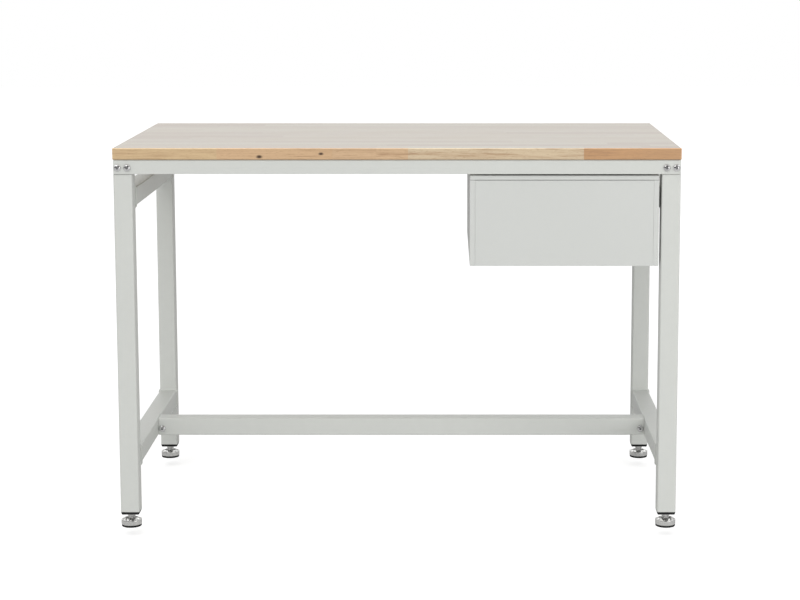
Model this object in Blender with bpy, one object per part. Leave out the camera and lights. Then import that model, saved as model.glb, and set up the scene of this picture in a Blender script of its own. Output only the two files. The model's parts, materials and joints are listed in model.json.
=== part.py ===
"""Workbench: tube frame, wooden worktop, one hanging drawer and four levelling feet.

Metres, +Z up. The origin is on the floor, under the middle of the worktop.
The front faces -Y, and the drawer hangs at the right, on the +X side.
"""

import math

import bmesh
import bpy
from mathutils import Matrix, Vector

# Driving dimensions
TOP_WIDTH = 1.200
TOP_DEPTH = 0.650
TOP_THICK = 0.025
HEIGHT = 0.825
TOP_EDGE_RADIUS = 0.0025
GAP = 0.0003

TUBE = 0.040
TUBE_WALL = 0.002
TUBE_RADIUS = 0.003
LEG_X = 0.5795
LEG_Y = 0.300
LEG_BOTTOM = 0.035
UPPER_TUBE_BOTTOM = 0.696
LOWER_TUBE_BOTTOM = 0.132

RAIL_HALF = 0.5985
RAIL_HEIGHT = 0.030
RAIL_FLANGE = 0.030
RAIL_WALL = 0.002
BRACKET_WALL = 0.003
BRACKET_HALF_DEPTH = 0.0172
BRACKET_REACH = 0.026
BRACKET_HALF_HEIGHT = 0.0155

BOLT_RADIUS = 0.004
BOLT_TIP = 0.0012
BOLT_TIP_INSET = 0.0008
RAIL_BOLT_LENGTH = 0.0125
BOLT_HOLE_RADIUS = 0.0043
HEAD_RADIUS = 0.0078
HEAD_HEIGHT = 0.0046
HEAD_RIM = 0.0010
HEAD_FLAT = 0.0008
SOCKET_RADIUS = 0.0029
SOCKET_DEPTH = 0.0025
SOCKET_BEVEL = 0.0004
NUT_PLATE_HALF_WIDTH = 0.0165
NUT_PLATE_HALF_HEIGHT = 0.009
NUT_PLATE_THICK = 0.004
RAIL_BOLT_PITCH = 0.0204
RAIL_BOLT_Z = 0.783
CROSS_BOLT_INSET = 0.0085
CROSS_BOLT_Z = 0.148
CROSS_BOLT_TIP = 0.003
CROSS_NUT_THICK = 0.0065
CROSS_NUT_APOTHEM = 0.0065
SCREW_X = (-0.42, 0.0, 0.42)
SCREW_RADIUS = 0.002
SCREW_HOLE_LENGTH = 0.036
# Radius, and height above the head's upper face, of each ring up a screw
SCREW_RINGS = (
    (0.0030, -0.0026),
    (0.0045, -0.0016),
    (0.0045, 0.0),
    (SCREW_RADIUS, 0.0),
    (SCREW_RADIUS, 0.014),
    (0.0006, 0.018),
)
SCREW_STEPS = 10

FOOT_RADIUS = 0.022
FOOT_TOP = 0.016
PAD_TOP = 0.0042
STEM_RADIUS = 0.0048
STEM_TOP = 0.082
STEM_BEVEL = 0.001
HEX_APOTHEM = 0.0075
HEX_BOTTOM = 0.0150
HEX_TOP = 0.0222
NUT_TOP = 0.0284
NUT_GAP = 0.0008
CAP_BOTTOM = 0.029
CAP_BEVEL = 0.001
PLUG_TOP = 0.057
PLUG_TAPER = 0.002
PLUG_CORNER = 0.001
BALL_RADIUS = 0.0060
NECK_RADIUS = 0.0042
# Radius, and height above the pad, of each ring up the stem's ball and neck
BALL_RINGS = (
    (0.0035, 0.0036),
    (0.0056, 0.0050),
    (BALL_RADIUS, 0.0068),
    (NECK_RADIUS, 0.0086),
)
# Inset from the foot's outside, and height under its top, of each ring over its rim
RIM_RINGS = (
    (0.0, 0.0012),
    (0.0010, 0.0),
    (0.0024, 0.0),
    (0.0040, 0.0030),
)
# Radius, and height under the foot's top, of the boss that holds the ball
BOSS_RINGS = (
    (0.0120, 0.0034),
    (0.0100, 0.0018),
    (0.0048, 0.0018),
)
# Radius, and height above the pad, of each ring down the ball's seat
SEAT_RINGS = (
    (0.0048, 0.0090),
    (0.0066, 0.0074),
    (0.0066, 0.0040),
    (0.0040, 0.0026),
)
SEAT_HOLE_RADIUS = 0.0020
FOOT_BASE_INSET = 0.0006
FOOT_BASE_BEVEL = 0.0010
PAD_INSET = 0.0004
PAD_BASE_INSET = 0.0020
PAD_BEVEL = 0.0012

SHEET = 0.0012
TRAY_SHEET = 0.0010
HOUSING_LEFT = 0.1536
HOUSING_RIGHT = 0.5545
HOUSING_BOTTOM = 0.5728
HOUSING_TOP = 0.7663
HOUSING_FRONT = -0.317
HOUSING_REAR = 0.213
SIDE_FLANGE = 0.0110
TOP_FLANGE = 0.0093
BOTTOM_LIP = 0.015
FRONT_GAP = 0.001
FRONT_FOLD = 0.018
GRIP_FOLD = 0.008
LIP_GAP = 0.002
BACK_FOLD = 0.014
TRAY_BOTTOM = 0.595
TRAY_TOP = 0.735
TRAY_REAR = 0.190
SLIDE_DEPTH = 0.0210
SLIDE_Z = 0.665
SLIDE_REAR = 0.165
# Outer member: near face, web and far face from the housing wall, half height, and wall
OUTER_NEAR = 0.0003
OUTER_WEB = 0.0099
OUTER_FAR = 0.0190
OUTER_HALF_HEIGHT = 0.0225
OUTER_WALL = 0.0015
# Middle and inner members: back and lip from the housing wall, half height
MIDDLE_CHANNEL = (0.0122, 0.0185, 0.0204)
INNER_CHANNEL = (0.0205, 0.0142, 0.0182)
CHANNEL_WALL = 0.0012
# How far each member starts behind the housing's front, and stops short of the slide's rear
SLIDE_ENDS = {"outer": (0.022, 0.0), "middle": (0.023, 0.006), "inner": (0.024, 0.002)}
HANGER_WIDTH = 0.030
HANGER_FRONT = -0.270
HANGER_REAR = 0.190
HANGER_INSET = 0.012
HANGER_WALL = 0.002

ROUND_STEPS = 12
FOOT_STEPS = 20
TUBE_STEPS = 16
SIDES = (("left", -1), ("right", 1))
ENDS = (("front", -1), ("rear", 1))

UNDERSIDE = HEIGHT - TOP_THICK
RAIL_TOP = UNDERSIDE - GAP
RAIL_BOTTOM = RAIL_TOP - RAIL_HEIGHT
LEG_TOP = RAIL_TOP - RAIL_WALL - 2 * GAP
LEG_FACE = LEG_Y + TUBE / 2
RAIL_FACE = LEG_FACE + GAP + RAIL_WALL
SPAN_X = LEG_X - TUBE / 2 - GAP
SPAN_Y = LEG_Y - TUBE / 2 - GAP

# name: (colour, roughness, metallic)
FINISHES = {
    "beech": ((0.60, 0.36, 0.17), 0.45, 0.0),
    "grey_paint": ((0.60, 0.62, 0.57), 0.40, 0.0),
    "chrome": ((0.80, 0.80, 0.82), 0.15, 1.0),
    "zinc": ((0.62, 0.63, 0.64), 0.32, 1.0),
    "black_plastic": ((0.015, 0.015, 0.016), 0.45, 0.0),
    "black_rubber": ((0.02, 0.02, 0.02), 0.80, 0.0),
}


def clear_scene():
    for obj in list(bpy.data.objects):
        bpy.data.objects.remove(obj, do_unlink=True)


def make_material(name, finish):
    colour, roughness, metallic = FINISHES[finish]
    material = bpy.data.materials.new(name)
    material.use_nodes = True
    shader = material.node_tree.nodes["Principled BSDF"]
    shader.inputs["Base Color"].default_value = (*colour, 1.0)
    shader.inputs["Roughness"].default_value = roughness
    shader.inputs["Metallic"].default_value = metallic
    return material


def add_object(name, bm, finish, location=(0, 0, 0), rotation=(0, 0, 0), smooth=False):
    """A named object from a bmesh, with its own material."""
    bmesh.ops.recalc_face_normals(bm, faces=bm.faces)
    mesh = bpy.data.meshes.new(name)
    bm.to_mesh(mesh)
    bm.free()
    if smooth:
        mesh.shade_smooth()
        mesh.set_sharp_from_angle(angle=math.radians(35))
    obj = bpy.data.objects.new(name, mesh)
    bpy.context.scene.collection.objects.link(obj)
    obj.location = location
    obj.rotation_euler = rotation
    obj.data.materials.append(make_material(name, finish))
    return obj


def circle(radius, z, steps=ROUND_STEPS):
    angles = [2 * math.pi * i / steps for i in range(steps)]
    return [Vector((radius * math.cos(angle), radius * math.sin(angle), z)) for angle in angles]


def hexagon(apothem, z, steps=ROUND_STEPS):
    """Points along a hexagon's edges, at the same polar angles as a circle's."""
    points = []
    for i in range(steps):
        angle = 2 * math.pi * i / steps
        offset = (angle % (math.pi / 3)) - math.pi / 6
        radius = apothem / math.cos(offset)
        points.append(Vector((radius * math.cos(angle), radius * math.sin(angle), z)))
    return points


def rounded_square(side, radius, z, steps=ROUND_STEPS):
    """A square with round corners: each quarter of the points is one corner's arc."""
    per_corner = steps // 4
    half = side / 2 - radius
    points = []
    for corner in range(4):
        start = corner * math.pi / 2
        centre = Vector((half * math.sqrt(2), 0, z))
        centre.rotate(Matrix.Rotation(start + math.pi / 4, 3, "Z"))
        for k in range(per_corner):
            angle = start + math.pi / 2 * k / (per_corner - 1)
            points.append(centre + Vector((math.cos(angle), math.sin(angle), 0)) * radius)
    return points


def bridge(bm, loops, wrap):
    """Quads between neighbouring loops of equal length. wrap joins the last to the first."""
    rings = [[bm.verts.new(point) for point in loop] for loop in loops]
    pairs = list(zip(rings, rings[1:]))
    if wrap:
        pairs.append((rings[-1], rings[0]))
    for lower, upper in pairs:
        for i in range(len(lower)):
            j = (i + 1) % len(lower)
            bm.faces.new((lower[i], lower[j], upper[j], upper[i]))
    return rings


def solid_stack(loops):
    """A solid through the loops, from bottom to top, with flat ends."""
    bm = bmesh.new()
    rings = bridge(bm, loops, wrap=False)
    bm.faces.new(list(reversed(rings[0])))
    bm.faces.new(rings[-1])
    return bm


def hollow_stack(loops):
    """A sleeve: the loops go up its outside and down its bore, and close on themselves."""
    bm = bmesh.new()
    bridge(bm, loops, wrap=True)
    return bm


def prism(points, length):
    """A flat outline in XZ, drawn out along +Y from 0 to length."""
    bm = bmesh.new()
    near = [bm.verts.new((x, 0, z)) for x, z in points]
    far = [bm.verts.new((x, length, z)) for x, z in points]
    bm.faces.new(near)
    bm.faces.new(list(reversed(far)))
    for i in range(len(points)):
        j = (i + 1) % len(points)
        bm.faces.new((near[i], far[i], far[j], near[j]))
    return bm


def add_box(bm, low, high):
    """An axis-aligned box between two corners."""
    size = Vector(high) - Vector(low)
    centre = (Vector(high) + Vector(low)) / 2
    matrix = Matrix.Translation(centre) @ Matrix.Diagonal((*size, 1))
    bmesh.ops.create_cube(bm, size=1, matrix=matrix)


def folded_sheet(name, finish, faces, thickness, inward):
    """Flat panels that share edges, given as lists of corners, thickened to one sheet."""
    bm = bmesh.new()
    for corners in faces:
        bm.faces.new([bm.verts.new(corner) for corner in corners])
    bmesh.ops.remove_doubles(bm, verts=bm.verts, dist=1e-6)
    obj = add_object(name, bm, finish)
    solidify = obj.modifiers.new("sheet", "SOLIDIFY")
    solidify.thickness = thickness
    solidify.offset = -1 if inward else 1
    solidify.use_even_offset = True
    solidify.use_quality_normals = True
    return obj


def drill(obj, holes, radius, length):
    """Cuts round holes, each given by its centre and axis letter."""
    turn = {
        "X": Matrix.Rotation(math.pi / 2, 4, "Y"),
        "Y": Matrix.Rotation(math.pi / 2, 4, "X"),
        "Z": Matrix.Identity(4),
    }
    bm = bmesh.new()
    for centre, axis in holes:
        bmesh.ops.create_cone(
            bm, cap_ends=True, segments=12, radius1=radius, radius2=radius, depth=length,
            matrix=Matrix.Translation(centre) @ turn[axis],
        )
    cutter = add_object(obj.name + "_drill", bm, "zinc")
    cutter.hide_render = True
    cutter.display_type = "WIRE"
    cut = obj.modifiers.new("holes", "BOOLEAN")
    cut.operation = "DIFFERENCE"
    cut.solver = "EXACT"
    cut.object = cutter


def bevel_edges(obj, width, segments):
    bevel = obj.modifiers.new("edges", "BEVEL")
    bevel.width = width
    bevel.segments = segments
    bevel.limit_method = "ANGLE"
    bevel.angle_limit = math.radians(40)


def square_tube(name, length, location, rotation):
    """A hollow square tube along its own Z, from 0 to length."""
    bore, bore_radius = TUBE - 2 * TUBE_WALL, TUBE_RADIUS - TUBE_WALL
    outer_low = rounded_square(TUBE, TUBE_RADIUS, 0, TUBE_STEPS)
    outer_high = rounded_square(TUBE, TUBE_RADIUS, length, TUBE_STEPS)
    inner_high = rounded_square(bore, bore_radius, length, TUBE_STEPS)
    inner_low = rounded_square(bore, bore_radius, 0, TUBE_STEPS)
    bm = hollow_stack([outer_low, outer_high, inner_high, inner_low])
    return add_object(name, bm, "grey_paint", location, rotation)


def make_worktop():
    bm = bmesh.new()
    add_box(
        bm,
        (-TOP_WIDTH / 2, -TOP_DEPTH / 2, UNDERSIDE),
        (TOP_WIDTH / 2, TOP_DEPTH / 2, HEIGHT),
    )
    worktop = add_object("worktop", bm, "beech")
    bevel_edges(worktop, TOP_EDGE_RADIUS, 2)
    centre_y = RAIL_FACE - RAIL_FLANGE / 2
    holes = [((x, y * centre_y, UNDERSIDE), "Z") for x in SCREW_X for _, y in ENDS]
    drill(worktop, holes, SCREW_RADIUS + GAP, SCREW_HOLE_LENGTH)


def make_rail(end, sign):
    """An angle: its web laps over the legs' outer faces, its flange goes in under the worktop."""
    outer, inner = sign * RAIL_FACE, sign * (RAIL_FACE - RAIL_FLANGE)
    face = sign * (RAIL_FACE - RAIL_WALL)
    thin = RAIL_TOP - RAIL_WALL
    outline = [
        (outer, RAIL_BOTTOM),
        (outer, RAIL_TOP),
        (inner, RAIL_TOP),
        (inner, thin),
        (face, thin),
        (face, RAIL_BOTTOM),
    ]
    bm = bmesh.new()
    left = [bm.verts.new((-RAIL_HALF, y, z)) for y, z in outline]
    right = [bm.verts.new((RAIL_HALF, y, z)) for y, z in outline]
    bm.faces.new(left)
    bm.faces.new(list(reversed(right)))
    for i in range(len(outline)):
        j = (i + 1) % len(outline)
        bm.faces.new((left[i], right[i], right[j], left[j]))
    rail = add_object(end + "_rail", bm, "grey_paint")
    centre_y = sign * (RAIL_FACE - RAIL_FLANGE / 2)
    bolts = [((x, outer, RAIL_BOLT_Z), "Y") for x in rail_bolt_places()]
    screws = [((x, centre_y, RAIL_TOP), "Z") for x in SCREW_X]
    drill(rail, bolts + screws, BOLT_HOLE_RADIUS, 4 * RAIL_WALL)


def rail_bolt_places():
    return [side * (LEG_X + step * RAIL_BOLT_PITCH / 2) for _, side in SIDES for step in (-1, 1)]


def make_legs():
    for end, y in ENDS:
        for side, x in SIDES:
            leg = square_tube(
                f"{end}_{side}_leg", LEG_TOP - LEG_BOTTOM, (x * LEG_X, y * LEG_Y, LEG_BOTTOM), (0, 0, 0)
            )
            places = [x * (LEG_X + step * RAIL_BOLT_PITCH / 2) for step in (-1, 1)]
            holes = [((place, y * LEG_FACE, RAIL_BOLT_Z), "Y") for place in places]
            drill(leg, holes, BOLT_HOLE_RADIUS, 4 * TUBE_WALL)


def make_side_tubes():
    for level, bottom in (("upper", UPPER_TUBE_BOTTOM), ("lower", LOWER_TUBE_BOTTOM)):
        for side, x in SIDES:
            place = (x * LEG_X, SPAN_Y, bottom + TUBE / 2)
            square_tube(f"{side}_{level}_side_tube", 2 * SPAN_Y, place, (math.pi / 2, 0, 0))


def make_crossbar():
    place = (-SPAN_X, 0, LOWER_TUBE_BOTTOM + TUBE / 2)
    bar = square_tube("lower_crossbar", 2 * SPAN_X, place, (0, math.pi / 2, 0))
    holes = [((x * (SPAN_X - CROSS_BOLT_INSET), 0, CROSS_BOLT_Z), "Y") for _, x in SIDES]
    drill(bar, holes, BOLT_HOLE_RADIUS, 2 * TUBE)


def make_crossbar_bracket(side, x):
    """A U inside the crossbar's end: its back is on the side tube, its arms take the bolt."""
    wall, half, reach = BRACKET_WALL, BRACKET_HALF_DEPTH, BRACKET_REACH
    end = SPAN_X - GAP
    corners = [
        (end, half),
        (end - reach, half),
        (end - reach, half - wall),
        (end - wall, half - wall),
        (end - wall, wall - half),
        (end - reach, wall - half),
        (end - reach, -half),
        (end, -half),
    ]
    mid = LOWER_TUBE_BOTTOM + TUBE / 2
    bm = bmesh.new()
    low = [bm.verts.new((x * px, py, mid - BRACKET_HALF_HEIGHT)) for px, py in corners]
    high = [bm.verts.new((x * px, py, mid + BRACKET_HALF_HEIGHT)) for px, py in corners]
    bm.faces.new(low)
    bm.faces.new(list(reversed(high)))
    for i in range(len(corners)):
        j = (i + 1) % len(corners)
        bm.faces.new((low[i], high[i], high[j], low[j]))
    bracket = add_object(f"crossbar_bracket_{side}", bm, "zinc")
    hole = ((x * (SPAN_X - CROSS_BOLT_INSET), 0, CROSS_BOLT_Z), "Y")
    drill(bracket, [hole], BOLT_HOLE_RADIUS, 2 * TUBE)


def button_bolt_loops(length):
    """A button-head bolt along Z: the head's underside is at 0, and its socket opens upwards."""
    shank = [circle(BOLT_RADIUS - BOLT_TIP_INSET, -length), circle(BOLT_RADIUS, BOLT_TIP - length)]
    shank.append(circle(BOLT_RADIUS, 0))
    head = [circle(HEAD_RADIUS, 0), circle(HEAD_RADIUS, HEAD_RIM)]
    flat = SOCKET_RADIUS + HEAD_FLAT
    for turn in (30, 60):
        angle = math.radians(turn)
        radius = flat + (HEAD_RADIUS - flat) * math.cos(angle)
        head.append(circle(radius, HEAD_RIM + (HEAD_HEIGHT - HEAD_RIM) * math.sin(angle)))
    socket = [circle(SOCKET_RADIUS + SOCKET_BEVEL, HEAD_HEIGHT)]
    socket.append(circle(SOCKET_RADIUS, HEAD_HEIGHT - SOCKET_BEVEL))
    socket.append(circle(SOCKET_RADIUS, HEAD_HEIGHT - SOCKET_DEPTH))
    return shank + head + socket


def make_rail_bolts(end, sign, side, x):
    """Two bolts screwed into one nut plate inside the leg."""
    face = sign * (RAIL_FACE + GAP)
    turn = Matrix.Rotation(sign * -math.pi / 2, 4, "X")
    bm = bmesh.new()
    for step in (-1, 1):
        place = Matrix.Translation((x * (LEG_X + step * RAIL_BOLT_PITCH / 2), face, RAIL_BOLT_Z))
        part = solid_stack(button_bolt_loops(RAIL_BOLT_LENGTH))
        part.transform(place @ turn)
        mesh = bpy.data.meshes.new("bolt")
        part.to_mesh(mesh)
        part.free()
        bm.from_mesh(mesh)
        bpy.data.meshes.remove(mesh)
    bolts = add_object(f"{end}_{side}_rail_bolts", bm, "chrome", smooth=True)
    inner = LEG_FACE - TUBE_WALL - GAP
    near, far = sorted((sign * inner, sign * (inner - NUT_PLATE_THICK)))
    plate = bmesh.new()
    add_box(
        plate,
        (x * LEG_X - NUT_PLATE_HALF_WIDTH, near, RAIL_BOLT_Z - NUT_PLATE_HALF_HEIGHT),
        (x * LEG_X + NUT_PLATE_HALF_WIDTH, far, RAIL_BOLT_Z + NUT_PLATE_HALF_HEIGHT),
    )
    helper = add_object(f"{end}_{side}_nut_plate", plate, "zinc")
    helper.hide_render = True
    helper.display_type = "WIRE"
    join = bolts.modifiers.new("nut plate", "BOOLEAN")
    join.operation = "UNION"
    join.solver = "EXACT"
    join.object = helper


def make_crossbar_bolt(side, x):
    head_face = -TUBE / 2 - GAP
    length = TUBE + 2 * GAP + CROSS_NUT_THICK + CROSS_BOLT_TIP
    place = (x * (SPAN_X - CROSS_BOLT_INSET), head_face, CROSS_BOLT_Z)
    bm = solid_stack(button_bolt_loops(length))
    add_object(f"crossbar_bolt_{side}", bm, "chrome", place, (math.pi / 2, 0, 0), smooth=True)
    low, high = GAP, GAP + CROSS_NUT_THICK
    bore = BOLT_RADIUS + GAP
    nut = hollow_stack([
        hexagon(CROSS_NUT_APOTHEM, low),
        hexagon(CROSS_NUT_APOTHEM, high),
        circle(bore, high),
        circle(bore, low),
    ])
    place = (place[0], TUBE / 2, CROSS_BOLT_Z)
    add_object(f"crossbar_nut_{side}", nut, "chrome", place, (-math.pi / 2, 0, 0))


def make_top_screw(name, x, y):
    """A pan-head screw, driven up through the rail's flange into the worktop."""
    head = RAIL_TOP - RAIL_WALL - GAP
    bm = solid_stack([circle(radius, head + height, SCREW_STEPS) for radius, height in SCREW_RINGS])
    add_object(name, bm, "zinc", (x, y, 0), smooth=True)


def make_leg_insert(name, place):
    """A plastic end plug: its rim covers the tube's end, and its bore takes the stem."""
    wide, plug = TUBE, TUBE - 2 * TUBE_WALL - 2 * GAP
    rim = LEG_BOTTOM - GAP
    bore = STEM_RADIUS + GAP
    bm = hollow_stack([
        rounded_square(wide - 2 * CAP_BEVEL, TUBE_RADIUS, CAP_BOTTOM),
        rounded_square(wide, TUBE_RADIUS, CAP_BOTTOM + CAP_BEVEL),
        rounded_square(wide, TUBE_RADIUS, rim),
        rounded_square(plug, PLUG_CORNER, rim),
        rounded_square(plug, PLUG_CORNER, PLUG_TOP - PLUG_TAPER),
        rounded_square(plug - PLUG_TAPER, PLUG_CORNER, PLUG_TOP),
        circle(bore, PLUG_TOP),
        circle(bore, CAP_BOTTOM),
    ])
    add_object(name, bm, "black_plastic", (*place, 0))


def make_stem(name, place):
    """A levelling stem: ball foot, hexagon for the spanner, and the threaded rod."""
    ball = [circle(radius, PAD_TOP + height) for radius, height in BALL_RINGS]
    bm = solid_stack(ball + [
        circle(NECK_RADIUS, HEX_BOTTOM),
        hexagon(HEX_APOTHEM, HEX_BOTTOM + GAP),
        hexagon(HEX_APOTHEM, HEX_TOP),
        circle(STEM_RADIUS, HEX_TOP + NUT_GAP / 2),
        circle(STEM_RADIUS, STEM_TOP - STEM_BEVEL),
        circle(STEM_RADIUS - STEM_BEVEL, STEM_TOP),
    ])
    add_object(name, bm, "zinc", (*place, 0), smooth=True)


def make_jam_nut(name, place):
    bore = STEM_RADIUS + GAP
    low = HEX_TOP + NUT_GAP
    bm = hollow_stack([
        hexagon(HEX_APOTHEM, low),
        hexagon(HEX_APOTHEM, NUT_TOP),
        circle(bore, NUT_TOP),
        circle(bore, low),
    ])
    add_object(name, bm, "zinc", (*place, 0))


def make_foot(name, place):
    """A dished steel foot: a raised rim round a boss that holds the stem's ball."""
    base = PAD_TOP + GAP
    rings = [(FOOT_RADIUS - FOOT_BASE_INSET, base), (FOOT_RADIUS, base + FOOT_BASE_BEVEL)]
    rings += [(FOOT_RADIUS - inset, FOOT_TOP - drop) for inset, drop in RIM_RINGS]
    rings += [(radius, FOOT_TOP - drop) for radius, drop in BOSS_RINGS]
    rings += [(radius, PAD_TOP + height) for radius, height in SEAT_RINGS]
    rings.append((SEAT_HOLE_RADIUS, base))
    bm = hollow_stack([circle(radius, height, FOOT_STEPS) for radius, height in rings])
    add_object(name, bm, "zinc", (*place, 0), smooth=True)


def make_rubber_pad(name, place):
    bm = solid_stack([
        circle(FOOT_RADIUS - PAD_BASE_INSET, 0, FOOT_STEPS),
        circle(FOOT_RADIUS - PAD_INSET, PAD_BEVEL, FOOT_STEPS),
        circle(FOOT_RADIUS - PAD_INSET, PAD_TOP, FOOT_STEPS),
    ])
    add_object(name, bm, "black_rubber", (*place, 0), smooth=True)


def make_levelling_feet():
    for end, y in ENDS:
        for side, x in SIDES:
            corner = f"{end}_{side}"
            place = (x * LEG_X, y * LEG_Y)
            make_leg_insert(f"{corner}_leg_insert", place)
            make_stem(f"{corner}_levelling_stem", place)
            make_jam_nut(f"{corner}_jam_nut", place)
            make_foot(f"{corner}_foot", place)
            make_rubber_pad(f"{corner}_rubber_pad", place)


def make_housing():
    """A folded cover: top, two sides, lips at the bottom, and flanges round the front."""
    left, right = HOUSING_LEFT, HOUSING_RIGHT
    low, high = HOUSING_BOTTOM, HOUSING_TOP
    front, rear = HOUSING_FRONT, HOUSING_REAR
    in_left, in_right = left + SIDE_FLANGE, right - SIDE_FLANGE
    under = high - TOP_FLANGE
    lip_front = front + FRONT_FOLD + LIP_GAP
    faces = [
        [(left, front, high), (left, rear, high), (right, rear, high), (right, front, high)],
        [(left, front, low), (left, lip_front, low), (left, rear, low),
         (left, rear, high), (left, front, high)],
        [(right, front, low), (right, front, high), (right, rear, high),
         (right, rear, low), (right, lip_front, low)],
        [(left, front, high), (right, front, high),
         (in_right, front, under), (in_left, front, under)],
        [(left, front, low), (left, front, high),
         (in_left, front, under), (in_left, front, low)],
        [(right, front, low), (in_right, front, low),
         (in_right, front, under), (right, front, high)],
        [(left, lip_front, low), (left + BOTTOM_LIP, lip_front, low),
         (left + BOTTOM_LIP, rear, low), (left, rear, low)],
        [(right, lip_front, low), (right, rear, low), (right - BOTTOM_LIP, rear, low),
         (right - BOTTOM_LIP, lip_front, low)],
    ]
    folded_sheet("drawer_housing", "grey_paint", faces, SHEET, inward=True)


def make_housing_back():
    """A pan that closes the housing's rear end."""
    clear = SHEET + GAP
    left, right = HOUSING_LEFT + clear, HOUSING_RIGHT - clear
    low, high = HOUSING_BOTTOM + clear, HOUSING_TOP - clear
    rear = HOUSING_REAR - GAP
    near = rear - BACK_FOLD
    faces = [
        [(left, rear, low), (right, rear, low), (right, rear, high), (left, rear, high)],
        [(left, rear, high), (right, rear, high), (right, near, high), (left, near, high)],
        [(left, rear, low), (left, near, low), (right, near, low), (right, rear, low)],
        [(left, rear, low), (left, rear, high), (left, near, high), (left, near, low)],
        [(right, rear, low), (right, near, low), (right, near, high), (right, rear, high)],
    ]
    folded_sheet("drawer_housing_back", "grey_paint", faces, SHEET, inward=True)


def make_hanger(side, web, toward):
    """A channel between the housing and the worktop, open towards the drawer's middle."""
    low, high = HOUSING_TOP + GAP, UNDERSIDE - GAP
    edge = web + toward * HANGER_WIDTH
    near, far = HANGER_FRONT, HANGER_REAR
    faces = [
        [(web, near, low), (web, far, low), (web, far, high), (web, near, high)],
        [(web, near, high), (web, far, high), (edge, far, high), (edge, near, high)],
        [(web, near, low), (edge, near, low), (edge, far, low), (web, far, low)],
    ]
    folded_sheet(f"drawer_hanger_{side}", "zinc", faces, HANGER_WALL, inward=True)


def make_drawer_front():
    """A pan set inside the housing's flanges. Its lower fold is short, and leaves the finger grip."""
    left = HOUSING_LEFT + SIDE_FLANGE + FRONT_GAP
    right = HOUSING_RIGHT - SIDE_FLANGE - FRONT_GAP
    low, high = HOUSING_BOTTOM, HOUSING_TOP - TOP_FLANGE - FRONT_GAP
    face = HOUSING_FRONT
    back, grip = face + FRONT_FOLD, face + GRIP_FOLD
    faces = [
        [(left, face, low), (left, face, high), (right, face, high), (right, face, low)],
        [(left, face, high), (left, back, high), (right, back, high), (right, face, high)],
        [(left, face, low), (right, face, low), (right, grip, low), (left, grip, low)],
        [(left, face, low), (left, grip, low), (left, back, low),
         (left, back, high), (left, face, high)],
        [(right, face, low), (right, face, high), (right, back, high),
         (right, back, low), (right, grip, low)],
    ]
    folded_sheet("drawer_front", "grey_paint", faces, SHEET, inward=True)


def make_tray():
    left = HOUSING_LEFT + SHEET + SLIDE_DEPTH
    right = HOUSING_RIGHT - SHEET - SLIDE_DEPTH
    front = HOUSING_FRONT + FRONT_FOLD + GAP
    rear, low, high = TRAY_REAR, TRAY_BOTTOM, TRAY_TOP
    faces = [
        [(left, front, low), (left, rear, low), (right, rear, low), (right, front, low)],
        [(left, front, low), (left, front, high), (left, rear, high), (left, rear, low)],
        [(right, front, low), (right, rear, low), (right, rear, high), (right, front, high)],
        [(left, front, low), (right, front, low), (right, front, high), (left, front, high)],
        [(left, rear, low), (left, rear, high), (right, rear, high), (right, rear, low)],
    ]
    folded_sheet("drawer_tray", "grey_paint", faces, TRAY_SHEET, inward=True)


def slide_outer_outline():
    """An H lying on its side: it stands off from the housing and guides the middle member."""
    near, web, far = OUTER_NEAR, OUTER_WEB, OUTER_FAR
    high, thin = OUTER_HALF_HEIGHT, OUTER_HALF_HEIGHT - OUTER_WALL
    back = web + OUTER_WALL
    return [
        (near, -high), (far, -high), (far, -thin), (back, -thin),
        (back, thin), (far, thin), (far, high), (near, high),
        (near, thin), (web, thin), (web, -thin), (near, -thin),
    ]


def slide_channel_outline(back, lip, half_height):
    """A channel whose web is at back and whose lips reach to lip."""
    step = CHANNEL_WALL if lip > back else -CHANNEL_WALL
    inner = half_height - CHANNEL_WALL
    return [
        (back, -half_height), (lip, -half_height), (lip, -inner), (back + step, -inner),
        (back + step, inner), (lip, inner), (lip, half_height), (back, half_height),
    ]


def make_slides():
    outlines = {
        "outer": slide_outer_outline(),
        "middle": slide_channel_outline(*MIDDLE_CHANNEL),
        "inner": slide_channel_outline(*INNER_CHANNEL),
    }
    walls = (("left", HOUSING_LEFT + SHEET, 1), ("right", HOUSING_RIGHT - SHEET, -1))
    for member, outline in outlines.items():
        start, stop = SLIDE_ENDS[member]
        near, far = HOUSING_FRONT + start, SLIDE_REAR - stop
        for side, wall, toward in walls:
            points = [(wall + toward * u, SLIDE_Z + z) for u, z in outline]
            bm = prism(points, far - near)
            add_object(f"drawer_slide_{member}_{side}", bm, "zinc", (0, near, 0))


def main():
    clear_scene()
    make_worktop()
    for end, sign in ENDS:
        make_rail(end, sign)
    make_legs()
    make_side_tubes()
    make_crossbar()
    for side, x in SIDES:
        make_crossbar_bracket(side, x)
        make_crossbar_bolt(side, x)
        for end, sign in ENDS:
            make_rail_bolts(end, sign, side, x)
    for end, sign in ENDS:
        for number, x in enumerate(SCREW_X, 1):
            y = sign * (RAIL_FACE - RAIL_FLANGE / 2)
            make_top_screw(f"{end}_top_screw_{number}", x, y)
    make_levelling_feet()
    make_housing()
    make_housing_back()
    make_hanger("left", HOUSING_LEFT + HANGER_INSET, 1)
    make_hanger("right", HOUSING_RIGHT - HANGER_INSET, -1)
    make_drawer_front()
    make_tray()
    make_slides()


main()
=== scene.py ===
import json
import math
import random

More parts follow.
